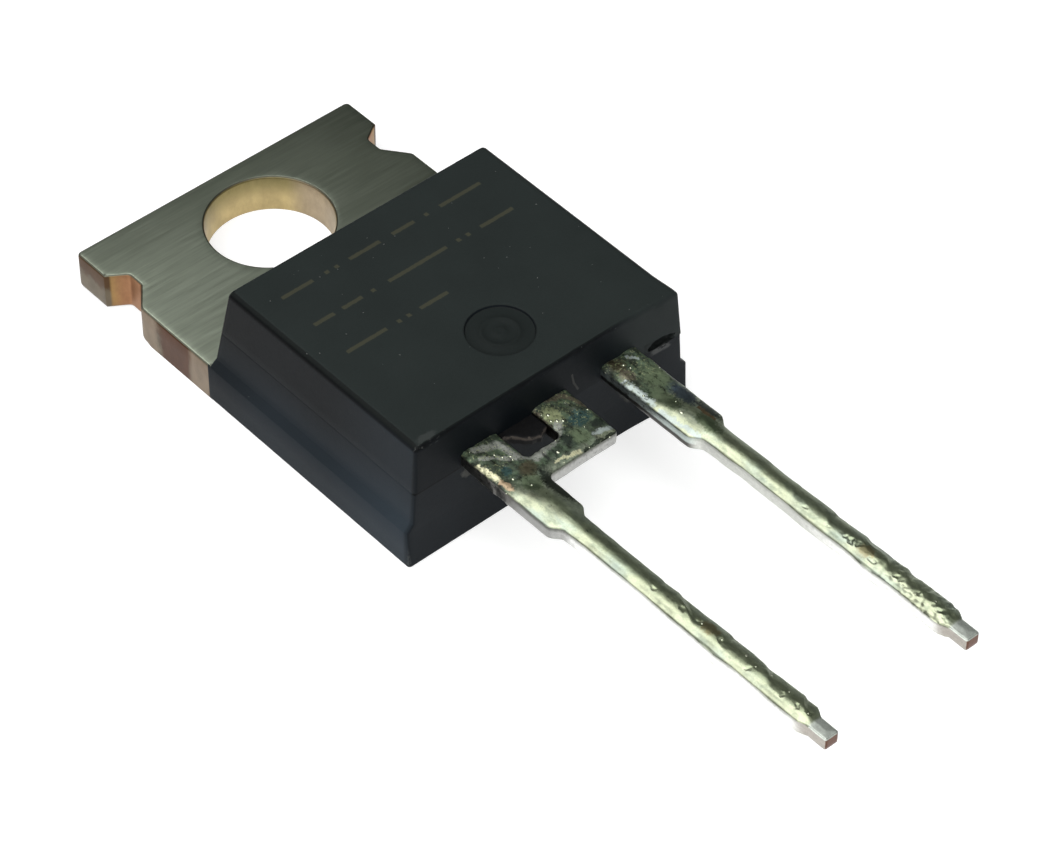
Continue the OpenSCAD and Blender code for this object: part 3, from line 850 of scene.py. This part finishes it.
def buildUpper():
    low = mould["front"] + mould["step"]
    rings = []
    for z, width in ((1.26, mould["baseWidth"]), (1.27, mould["baseWidth"]), (1.29, mould["baseWidth"] - 0.008)):
        rings.append(mouldRing(z, width, backAt(z), low))
    ledge = mould["ledgeTop"]
    rings.append(mouldRing(ledge - 0.02, mould["ledgeWidth"] + 0.012, backAt(ledge), low))
    for z in (ledge + 0.01, 1.8, 2.1, 2.4, 2.56, 2.61):
        rings.append(mouldRing(z, sideAt(z), backAt(z), low))
    # a groove along the parting line of the front
    part = mould["parting"]
    rings.append(mouldRing(part - 0.018, sideAt(part) - 0.003, backAt(part), low + 0.05))
    rings.append(mouldRing(part + 0.008, sideAt(part) - 0.003, backAt(part), low + 0.05))
    for z in (part + 0.02, 2.9, 3.2, 3.5, 3.8):
        rings.append(mouldRing(z, sideAt(z), backAt(z), frontAt(z)))
    turn = mould["top"] - mould["sideRound"]
    for k in range(10):
        angle = math.radians(10 * k)
        z = turn + mould["sideRound"] * math.sin(angle)
        inward = 1 - math.cos(angle)
        rings.append(
            mouldRing(
                z,
                sideAt(turn) - mould["sideRound"] * inward,
                backAt(turn) - mould["endRound"] * inward,
                frontAt(turn) + mould["endRound"] * inward,
            )
        )
    verts, faces = loftRings(rings)
    n = len(rings[0])
    rim = [Vector(p[:2]) for p in rings[-1]]
    inner = insetOutline(rim, 0.05)
    start = len(verts)
    verts += [(p.x, p.y, mould["top"]) for p in inner]
    faces += [(start - n + i, start - n + (i + 1) % n, start + (i + 1) % n, start + i) for i in range(n)]
    around = 96
    pin = pinMark
    outer = circleOutline(pin["x"], pin["y"], pin["radius"] + pin["edge"] + 0.03, around, True)
    grid, gap, triangles = fillOutline([inner, outer], 0.35)
    top = mould["top"]
    place = list(range(start, start + n)) + list(range(len(verts), len(verts) + around + len(grid)))
    verts += [(p.x, p.y, top) for p in outer]
    verts += [(x, y, top) for x, y in grid]
    faces += [tuple(place[i] for i in f) for f in triangles]
    ringStart = place[n]
    steps = [
        (pin["radius"] + pin["edge"], 0.0),
        (pin["radius"] + 0.012, 0.012),
        (pin["radius"], pin["depth"] - 0.01),
        (pin["radius"] - 0.012, pin["depth"]),
        (pin["radius"] - 0.1, pin["depth"]),
        (0.62, pin["depth"] - 0.002),
        (0.57, pin["depth"] - 0.022),
        (0.5, pin["depth"] - 0.024),
        (0.44, pin["depth"]),
        (0.22, pin["depth"] - 0.004),
        (0.17, pin["depth"] - 0.02),
        (0.08, pin["depth"] - 0.022),
    ]
    for radius, depth in steps:
        ring = circleOutline(pin["x"], pin["y"], radius, around, True)
        first = len(verts)
        verts += [(p.x, p.y, top - depth) for p in ring]
        faces += [
            (ringStart + i, ringStart + (i + 1) % around, first + (i + 1) % around, first + i) for i in range(around)
        ]
        ringStart = first
    verts.append((pin["x"], pin["y"], top - pin["depth"] + 0.01))
    faces += [(ringStart + i, ringStart + (i + 1) % around, len(verts) - 1) for i in range(around)]
    mesh = meshOf("upper", verts, faces)
    bm = bmesh.new()
    bm.from_mesh(mesh)
    bmesh.ops.recalc_face_normals(bm, faces=bm.faces)
    bm.to_mesh(mesh)
    bm.free()
    return mesh


def cutScar(mesh):
    bm = bmesh.new()
    bmesh.ops.create_icosphere(bm, subdivisions=4, radius=1)
    for v in bm.verts:
        rough = 1 + 0.16 * wave(v.co, 2.2, 3)
        v.co = Vector(
            (
                gateScar["x"] + v.co.x * rough * gateScar["length"] / 2,
                mould["front"] - 0.08 + v.co.y * rough * gateScar["depth"],
                gateScar["z"] + v.co.z * rough * 0.19,
            )
        )
    cutterMesh = bpy.data.meshes.new("scar cutter")
    bm.to_mesh(cutterMesh)
    bm.free()
    body = bpy.data.objects.new("upper", mesh)
    cutter = bpy.data.objects.new("scar_cutter", cutterMesh)
    for obj in (body, cutter):
        bpy.context.scene.collection.objects.link(obj)
    boolean = body.modifiers.new("scar", "BOOLEAN")
    boolean.operation = "DIFFERENCE"
    boolean.object = cutter
    boolean.solver = "EXACT"
    bpy.context.view_layer.update()
    cut = bpy.data.meshes.new_from_object(body.evaluated_get(bpy.context.evaluated_depsgraph_get()))
    for obj in (body, cutter):
        bpy.data.objects.remove(obj)
    return cut


def buildBase():
    low = mould["front"] + mould["step"]
    lift = mould["lift"]
    rings = [
        mouldRing(lift, mould["baseWidth"] - 0.025, mould["flange"], low - 0.045),
        mouldRing(lift + 0.03, mould["baseWidth"], mould["flange"], low - 0.07),
        mouldRing(0.6, mould["baseWidth"], mould["flange"], low - 0.03),
        mouldRing(1.24, mould["baseWidth"], mould["flange"], low),
        mouldRing(1.265, mould["baseWidth"] - 0.01, mould["flange"] - 0.01, low),
    ]
    verts, faces = loftRings(rings)
    n = len(rings[0])
    faces.append(tuple(range(len(verts) - n, len(verts))))
    return meshOf("base", verts, faces)


def mouldTexture(co, normal):
    grain = 0.003 * wave(co, 6, 1)
    edge = smoothStep(co.z, 4.05, 4.25) * smoothStep(-co.y, 11.9, 12.05)
    chip = max(0, wave(co, 3, 8) - 0.22) * 0.06
    return grain - edge * chip


# The right end of the front stands out a little.
def moveRightEnd(mesh):
    for v in mesh.vertices:
        amount = smoothStep(v.co.x, 2.6, 4.6) * smoothStep(-v.co.y, 11.2, 12.0)
        v.co += amount * Vector((0.05, -0.1, 0))


upper = buildUpper()
pushAlongNormals(upper, mouldTexture)
moveRightEnd(upper)
upper = cutScar(upper)
base = buildBase()
pushAlongNormals(base, mouldTexture)
moveRightEnd(base)
mouldMesh = joinMeshes("mould_shell", [base, upper])
mouldShell = addPiece("mould_shell", mouldMesh, epoxy, ["moulded_body"], 28)


# Flash between the cathode lead and the stub, broken off on a slant.
def buildFlash():
    left, right = -1.95, -0.58
    corners = [
        (left, -12.38),
        (-1.76, -12.39),
        (-1.6, -12.46),
        (-1.48, -12.6),
        (-1.36, -12.76),
        (-1.2, -12.89),
        (-0.96, -12.95),
        (right, -12.8),
        (right, -12.1),
        (left, -12.1),
    ]
    outline = spread([Vector(p) for p in corners], 0.05)
    outline = [p + Vector((0, 0.04 * wave((p.x, p.y, 0), 6, 4))) if p.y < -12.2 else p for p in outline]
    rows = [(0.03, 2.7), (0.0, 2.73), (0.0, 2.98), (0.03, 3.0)]
    verts, faces = slab([outline], rows, 0.08)
    mesh = meshOf("flash_web", verts, faces)
    pushAlongNormals(mesh, lambda co, normal: 0.02 * wave(co, 7, 6))
    return mesh


addPiece("flash_web", buildFlash(), torn)
print("moulding built")

# The tab: an outline with its notches and hole, with rolled edges.
tab = {
    "half": 5.075,
    "top": 1.27,
    "end": 2.62,
    "reach": -3.62,
    "notchDepth": 0.6,
    "notchY": 0.43,
    "mouth": 1.72,
    "floorY": 0.62,
    "floor": 0.55,
    "hole": 1.92,
    "rim": 0.07,
    "corner": 0.15,
}


def tabOutline():
    t = tab
    right = [
        (t["half"], t["reach"], 0),
        (t["half"], t["notchY"] - t["mouth"] / 2, 0.3),
        (t["half"] - t["notchDepth"], t["floorY"] - t["floor"] / 2, 0.15),
        (t["half"] - t["notchDepth"], t["floorY"] + t["floor"] / 2, 0.15),
        (t["half"], t["notchY"] + t["mouth"] / 2, 0.06),
        (t["half"], t["end"], t["corner"]),
    ]
    left = [(-x, y, r) for x, y, r in reversed(right)]
    return roundOutline(right + left, 0.07)


def buildTab():
    hole = circleOutline(0, 0, tab["hole"], 160, True)
    rows = [
        (0.16, 0.0),
        (0.08, 0.02),
        (0.03, 0.06),
        (0.008, 0.12),
        (0.0, 0.2),
        (0.0, 0.5),
        (0.0, 0.8),
        (0.0, 1.19),
        (0.008, 1.225),
        (0.026, 1.25),
        (0.055, 1.266),
        (0.08, 1.27),
    ]
    verts, faces = slab([tabOutline(), hole], rows, 0.2)
    mesh = meshOf("tab_top", verts, faces)
    # only the free end is rolled below, not the hole, the edge in the moulding or the sides by it
    for v in mesh.vertices:
        span = math.hypot(v.co.x, v.co.y)
        if v.co.z < 0.3 and v.co.y < tab["reach"] + 0.17:
            v.co.y = tab["reach"]
        if v.co.z < 0.3 and span < tab["hole"] + 0.17:
            v.co.x *= tab["hole"] / span
            v.co.y *= tab["hole"] / span
        elif v.co.z < 0.3 and abs(v.co.x) > 4.8:
            part = smoothStep(-v.co.y, 0.3, 0.8)
            v.co.x = math.copysign(tab["half"] * part + abs(v.co.x) * (1 - part), v.co.x)
    return mesh


tabMesh = joinMeshes("tab_plate", [buildTab(), copyNode("tab_and_cathode_lead", -12.15, tab["reach"] + 0.01)])
print("tab built")

# The solder coat that hides each lead, and the sheet that joins cathode lead, bridge and stub.
lead = {
    "pitch": 5.08,
    "low": 2.64,
    "high": 3.11,
    "front": -12.05,
    "shoulder": -15.72,
    "taper": 0.3,
    "tip": -25.18,
    "end": -25.8,
    "shoulderHalf": 0.62,
    "half": 0.39,
    "tipHalf": 0.23,
    "bridgeNear": -13.44,
    "bridgeFar": -14.29,
    "skin": 0.012,
    "crown": 0.105,
    "rootCrown": 0.05,
    "rootEdge": 0.17,
    "spacing": 0.03,
}

# Pits in the outer half of each lead: across, along, radius.
nearPits = [
    (-0.05, -19.22, 0.12),
    (0.03, -20.24, 0.12),
    (0.03, -20.89, 0.17),
    (0.02, -21.69, 0.13),
    (0.18, -22.47, 0.06),
    (-0.14, -22.83, 0.13),
    (0.15, -22.88, 0.06),
    (0.23, -23.1, 0.06),
    (0.23, -23.35, 0.06),
    (-0.07, -24.05, 0.13),
    (0.17, -24.07, 0.06),
    (-0.06, -24.59, 0.14),
    (0.05, -24.9, 0.12),
]
farPits = [
    (-0.15, -19.73, 0.1),
    (-0.19, -20.57, 0.12),
    (-0.1, -21.35, 0.2),
    (-0.02, -21.6, 0.14),
    (-0.16, -22.26, 0.15),
    (-0.08, -23.1, 0.15),
    (-0.11, -23.9, 0.13),
    (0.09, -24.4, 0.1),
    (-0.08, -24.7, 0.12),
]


def leadSide(x, sign):
    s = lead
    down = [
        (x + sign * s["shoulderHalf"], s["shoulder"], 0.3),
        (x + sign * s["half"], s["shoulder"] - s["taper"], 0.2),
        (x + sign * s["half"], s["tip"] + s["taper"], 0.1),
        (x + sign * s["tipHalf"], s["tip"], 0.1),
        (x + sign * s["tipHalf"], s["end"], 0.07),
    ]
    return down if sign < 0 else down[::-1]


def cathodeOutline():
    s = lead
    x = -s["pitch"] / 2
    w = s["shoulderHalf"]
    corners = [(x - w, s["front"], 0)] + leadSide(x, -1) + leadSide(x, 1)
    corners += [
        (x + w, s["bridgeFar"], 0.2),
        (w, s["bridgeFar"], 0.1),
        (w, s["front"], 0),
        (-w, s["front"], 0),
        (-w, s["bridgeNear"], 0.2),
        (x + w, s["bridgeNear"], 0.2),
        (x + w, s["front"], 0),
    ]
    return roundOutline(corners, 0.03)


def anodeOutline():
    x = lead["pitch"] / 2
    w = lead["shoulderHalf"]
    corners = [(x - w, lead["front"], 0)] + leadSide(x, -1) + leadSide(x, 1) + [(x + w, lead["front"], 0)]
    return roundOutline(corners, 0.03)


# The coat is flat with rounded edges at the root and swells over the whole width further out.
def coatCrown(x, y, d, sign):
    s = lead
    out = smoothStep(-y, 13.9, 15.3)
    slim = smoothStep(-y, -s["shoulder"] - 0.1, s["taper"] - s["shoulder"] + 0.1)
    wide = s["shoulderHalf"] * (1 - slim) + s["half"] * slim
    width = s["rootEdge"] * (1 - out) + wide * out
    rise = s["rootCrown"] * (1 - out) + s["crown"] * (wide / s["half"]) ** 0.7 * out
    across = min(1, d / width)
    rise *= 1 - (1 - across) ** 2
    tip = smoothStep(y, s["tip"] - 0.15, s["tip"] + 0.5)
    rise *= 0.25 + 0.75 * tip
    return sign * rise * (1 if sign > 0 else 0.5)


# Swelling, root lumps, ripples that end in a short steep step, and pits.
def coatTexture(x0, pits, seed):
    def amount(co, normal):
        y = co.y
        root = smoothStep(y, -14.7, -13.6) if x0 < 0 else smoothStep(y, -13.9, -12.9)
        root *= 1 - 0.8 * smoothStep(co.x, -0.7, -0.3) * smoothStep(-y, 13.1, 13.5) * (x0 < 0)
        outer = smoothStep(-y, 18.2, 20.5)
        tip = smoothStep(-y, 25.0, 25.25)
        swell = 0.014 * wave(co, 1.3, seed) + 0.008 * wave(co, 3.2, seed + 5)
        ridge = 1 - 2 * abs(wave(co, 3.3, seed + 9))
        lumps = root * (0.012 * ridge + 0.03 * wave(co, 2.3, seed + 3) + 0.012 * wave(co, 8, seed + 2))
        phase = -y * 0.72 + 0.7 * wave((co.x, y, 0), 1.0, seed + 7) + 0.5 * (co.x - x0)
        saw = phase % 1
        step = saw * (1 - smoothStep(saw, 0.76, 1.0)) - 0.4
        across = smoothStep(co.x - x0, -0.22, 0.12)
        ripple = outer * across * 0.06 * step
        coarse = 0.022 * wave(co, 7, seed + 6) * smoothStep(-y, 21.5, 24) * (x0 > 0)
        total = (swell + lumps + ripple + coarse) * (1 - 0.85 * tip)
        if abs(normal.z) > 0.4:
            total -= 0.025 * tip
        if normal.z > 0.4:
            wobble = 0.8 * wave(co, 9, seed + 11)
            for px, py, radius in pits:
                dx, dy = (co.x - x0 - px) / (0.75 * radius), (y - py) / radius
                span = math.hypot(dx, dy) + wobble
                if span < 1:
                    total -= 0.17 * radius * (1 - max(0, span) ** 2) ** 1.5
        elif abs(normal.z) < 0.5:
            total = 0.7 * total + 0.05 * wave((x0, y, 0), 0.9, seed + 4) * smoothStep(-y, 16.2, 17.5) * (1 - tip)
        return total

    return amount


def buildCoat(name, outline, x0, pits, seed):
    s = lead
    skin = -s["skin"]
    rows = [
        (0.07, s["low"] - 0.012),
        (0.03, s["low"] + 0.004),
        (skin + 0.014, s["low"] + 0.04),
        (skin, s["low"] + 0.09),
        (skin - 0.004, 2.82),
        (skin - 0.004, 2.95),
        (skin, s["high"] - 0.05),
        (skin + 0.008, s["high"] - 0.025),
        (0.012, s["high"] - 0.01),
        (0.035, s["high"] + 0.004),
    ]
    verts, faces = slab([outline], rows, s["spacing"], coatCrown)
    mesh = meshOf(name, verts, faces)
    pushAlongNormals(mesh, coatTexture(x0, pits, seed))
    for v in mesh.vertices:
        along = smoothStep(-v.co.y, 15.5, 17.0) * smoothStep(v.co.y, s["tip"] - 0.1, s["tip"] + 0.3)
        v.co.x += 0.06 * along * smoothStep(x0 - v.co.x, 0.1, 0.35)
    return mesh


cathodeMesh = buildCoat("cathode_coat", cathodeOutline(), -lead["pitch"] / 2, nearPits, 2)
anodeMesh = buildCoat("anode_coat", anodeOutline(), lead["pitch"] / 2, farPits, 17)
print("coats built")


# Small grains scattered over a piece where it faces up and lies past a given Y.
def scatterTree(name):
    tree = bpy.data.node_groups.new(name, "GeometryNodeTree")
    face = tree.interface
    face.new_socket("Geometry", in_out="INPUT", socket_type="NodeSocketGeometry")
    for label, kind in (
        ("Density", "NodeSocketFloat"),
        ("From Y", "NodeSocketFloat"),
        ("Size", "NodeSocketFloat"),
        ("Length", "NodeSocketFloat"),
        ("Seed", "NodeSocketInt"),
        ("Material", "NodeSocketMaterial"),
    ):
        face.new_socket(label, in_out="INPUT", socket_type=kind)
    face.new_socket("Geometry", in_out="OUTPUT", socket_type="NodeSocketGeometry")
    given = tree.nodes.new("NodeGroupInput")

    def add(kind, settings=None, **links):
        made = tree.nodes.new(kind)
        for key, value in (settings or {}).items():
            setattr(made, key, value)
        for key, value in links.items():
            socket = made.inputs[int(key[1:])] if key[1:].isdigit() else made.inputs[key.replace("_", " ")]
            if hasattr(value, "is_output"):
                tree.links.new(value, socket)
            else:
                socket.default_value = value
        return made

    place = add("ShaderNodeSeparateXYZ", Vector=add("GeometryNodeInputPosition").outputs[0])
    facing = add("ShaderNodeSeparateXYZ", Vector=add("GeometryNodeInputNormal").outputs[0])
    past = add("ShaderNodeMath", {"operation": "GREATER_THAN"}, s0=place.outputs["Y"], s1=given.outputs["From Y"])
    up = add("ShaderNodeMath", {"operation": "GREATER_THAN"}, s0=facing.outputs["Z"], s1=0.35)
    both = add("ShaderNodeMath", {"operation": "MULTIPLY"}, s0=past.outputs[0], s1=up.outputs[0])
    points = add(
        "GeometryNodeDistributePointsOnFaces",
        Mesh=given.outputs["Geometry"],
        Selection=both.outputs[0],
        Density=given.outputs["Density"],
        Seed=given.outputs["Seed"],
    )
    low = add("ShaderNodeMath", {"operation": "MULTIPLY"}, s0=given.outputs["Size"], s1=0.25)
    wide = add("FunctionNodeRandomValue", {"data_type": "FLOAT"})
    tree.links.new(low.outputs[0], wide.inputs[2])
    tree.links.new(given.outputs["Size"], wide.inputs[3])
    tree.links.new(given.outputs["Seed"], wide.inputs["Seed"])
    long = add("ShaderNodeMath", {"operation": "MULTIPLY"}, s0=wide.outputs[1], s1=given.outputs["Length"])
    scale = add("ShaderNodeCombineXYZ", X=long.outputs[0], Y=wide.outputs[1], Z=wide.outputs[1])
    spin = add("FunctionNodeRandomValue", {"data_type": "FLOAT"})
    spin.inputs[3].default_value = 2 * math.pi
    turn = add("ShaderNodeCombineXYZ", Z=spin.outputs[1])
    grain = add("GeometryNodeMeshIcoSphere", Radius=1.0, Subdivisions=2)
    placed = add(
        "GeometryNodeInstanceOnPoints",
        Points=points.outputs["Points"],
        Instance=grain.outputs["Mesh"],
        Rotation=turn.outputs[0],
        Scale=scale.outputs[0],
    )
    real = add("GeometryNodeRealizeInstances", Geometry=placed.outputs[0])
    painted = add("GeometryNodeSetMaterial", Geometry=real.outputs[0], Material=given.outputs["Material"])
    result = tree.nodes.new("NodeGroupOutput")
    tree.links.new(painted.outputs[0], result.inputs[0])
    return tree


def scatter(source, values):
    tree = scatterTree("scatter")
    obj = bpy.data.objects.new("scatter", source.data.copy())
    bpy.context.scene.collection.objects.link(obj)
    modifier = obj.modifiers.new("scatter", "NODES")
    modifier.node_group = tree
    for item in tree.interface.items_tree:
        if item.in_out == "INPUT" and item.name in values:
            modifier[item.identifier] = values[item.name]
    bpy.context.view_layer.update()
    made = bpy.data.meshes.new_from_object(obj.evaluated_get(bpy.context.evaluated_depsgraph_get()))
    bpy.data.objects.remove(obj)
    made.transform(Matrix.Scale(1 / metre, 4))
    return made

addPiece("tab_plate", tabMesh, plate, ["tab_and_cathode_lead"], 50)
cathodeCoat = addPiece("cathode_coat", cathodeMesh, solder, ["tab_and_cathode_lead"], 50)
anodeCoat = addPiece("anode_coat", anodeMesh, solder, ["anode_lead"], 50)
# Larger drops that catch the light on the leads: place and radius.
drops = [
    (-0.43, -12.64, 0.05),
    (-0.52, -12.86, 0.045),
    (-0.4, -12.97, 0.05),
    (-0.27, -13.07, 0.045),
    (-1.18, -13.89, 0.05),
    (-2.73, -13.82, 0.045),
    (-2.43, -13.04, 0.035),
    (-2.24, -13.16, 0.035),
    (-2.53, -12.83, 0.03),
    (-2.27, -13.29, 0.03),
    (2.38, -12.58, 0.04),
    (2.46, -12.78, 0.035),
    (2.31, -15.0, 0.045),
    (-2.48, -20.93, 0.035),
    (-2.49, -21.69, 0.03),
    (-2.38, -22.49, 0.03),
    (-2.47, -22.93, 0.022),
    (-2.34, -23.38, 0.022),
    (-2.40, -24.09, 0.022),
    (-2.54, -24.92, 0.025),
    (2.38, -23.40, 0.03),
    (2.60, -24.38, 0.022),
    (2.39, -23.79, 0.022),
]


def buildDrops():
    bm = bmesh.new()
    for x, y, radius in drops:
        source = cathodeCoat if x < 1 else anodeCoat
        found, spot, _, _ = source.ray_cast(Vector((x, y, 6)) * metre, Vector((0, 0, -1)))
        if found:
            place = Matrix.Translation(spot / metre) @ Matrix.Diagonal((radius, radius * 1.2, radius * 0.7, 1))
            bmesh.ops.create_icosphere(bm, subdivisions=3, radius=1, matrix=place)
    mesh = bpy.data.meshes.new("drops")
    bm.to_mesh(mesh)
    bm.free()
    pushAlongNormals(mesh, lambda co, normal: 0.008 * wave(co, 20, 2))
    return mesh


beads = {"From Y": -0.0146, "Density": 1.9e6, "Size": 3.2e-5, "Length": 1.3, "Seed": 4, "Material": bead}
beadMesh = joinMeshes("solder_beads", [scatter(cathodeCoat, beads), scatter(anodeCoat, beads), buildDrops()])
addPiece("solder_beads", beadMesh, bead)
specks = {"From Y": -0.0122, "Density": 4e5, "Size": 1.6e-5, "Length": 1.8, "Seed": 11, "Material": dust}
addPiece("dust_specks", scatter(mouldShell, specks), dust)
addPiece("anode_post", copyNode("anode_lead", -12.15, None), copperInside, ["anode_lead"], 40)

for name, material in (
    ("schottky_die", silicon),
    ("die_solder", softSolder),
    ("bond_wire_1", wire),
    ("bond_wire_2", wire),
    ("bond_wire_3", wire),
):
    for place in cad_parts[name].material_slots:
        place.material = material

# Floor, lamps, world and camera.
light = {"key": 1.95, "fill": 0.2, "kick": 0.6, "world": 0.1, "floor": 0.6, "lift": 0.64, "mirrored": 0.64}


def buildFloor():
    mesh = meshOf("floor", [(-3, -3, 0), (3, -3, 0), (3, 3, 0), (-3, 3, 0)], [(0, 1, 2, 3)])
    floor = bpy.data.objects.new("floor", mesh)
    bpy.context.scene.collection.objects.link(floor)
    p = Paint("pale floor")
    p.finish(Base_Color=(light["floor"],) * 3, Roughness=0.9, Specular_IOR_Level=0.1)
    seen = p.node("ShaderNodeLightPath", {}, {}, "Is Camera Ray")
    glossy = p.node("ShaderNodeLightPath", {}, {}, "Is Glossy Ray")
    glow = p.mix(seen * light["lift"] + glossy * light["mirrored"], (0.0, 0.0, 0.0), (1.0, 1.0, 1.0))
    p.finish(Emission_Color=glow, Emission_Strength=1.0)
    mesh.materials.append(p.material)


def addPanel(name, place, aim, width, height, radiance):
    lamp = bpy.data.lights.new(name, "AREA")
    lamp.shape = "RECTANGLE"
    lamp.size = width
    lamp.size_y = height
    lamp.energy = radiance * math.pi * width * height
    obj = bpy.data.objects.new(name, lamp)
    bpy.context.scene.collection.objects.link(obj)
    obj.location = place
    obj.rotation_mode = "QUATERNION"
    obj.rotation_quaternion = (Vector(aim) - Vector(place)).to_track_quat("-Z", "Y")


buildFloor()
addPanel("key", (-0.355, -0.175, 0.25), (-0.355, -0.175, 0), 0.8, 0.75, light["key"])
addPanel("fill", (-0.35, -0.4, 0.22), (0, -0.01, 0), 0.4, 0.3, light["fill"])
addPanel("kick", (0.17, -0.24, 0.25), (0, -0.01, 0), 0.16, 0.2, light["kick"])

world = bpy.data.worlds.new("studio")
bpy.context.scene.world = world
world.use_nodes = True
world.node_tree.nodes["Background"].inputs["Color"].default_value = (0.95, 1.0, 0.98, 1)
world.node_tree.nodes["Background"].inputs["Strength"].default_value = light["world"]

view = {
    "lens": 142.53,
    "target": (-0.288, -11.274, 1.5),
    "towards": (-0.46492, -0.52484, 0.71301),
    "distance": 113.24,
    "roll": 0.317,
}
lens = bpy.data.cameras.new("camera")
lens.lens = view["lens"]
lens.sensor_width = 36
lens.clip_start = 0.005
lens.clip_end = 20
camera = bpy.data.objects.new("camera", lens)
bpy.context.scene.collection.objects.link(camera)
towards = Vector(view["towards"]).normalized()
camera.location = (Vector(view["target"]) + towards * view["distance"]) * metre
camera.rotation_mode = "QUATERNION"
turn = Quaternion((0, 0, 1), math.radians(view["roll"]))
camera.rotation_quaternion = (-towards).to_track_quat("-Z", "Y") @ turn
bpy.context.scene.camera = camera
bpy.context.scene.view_settings.view_transform = "Standard"
print("stage set")
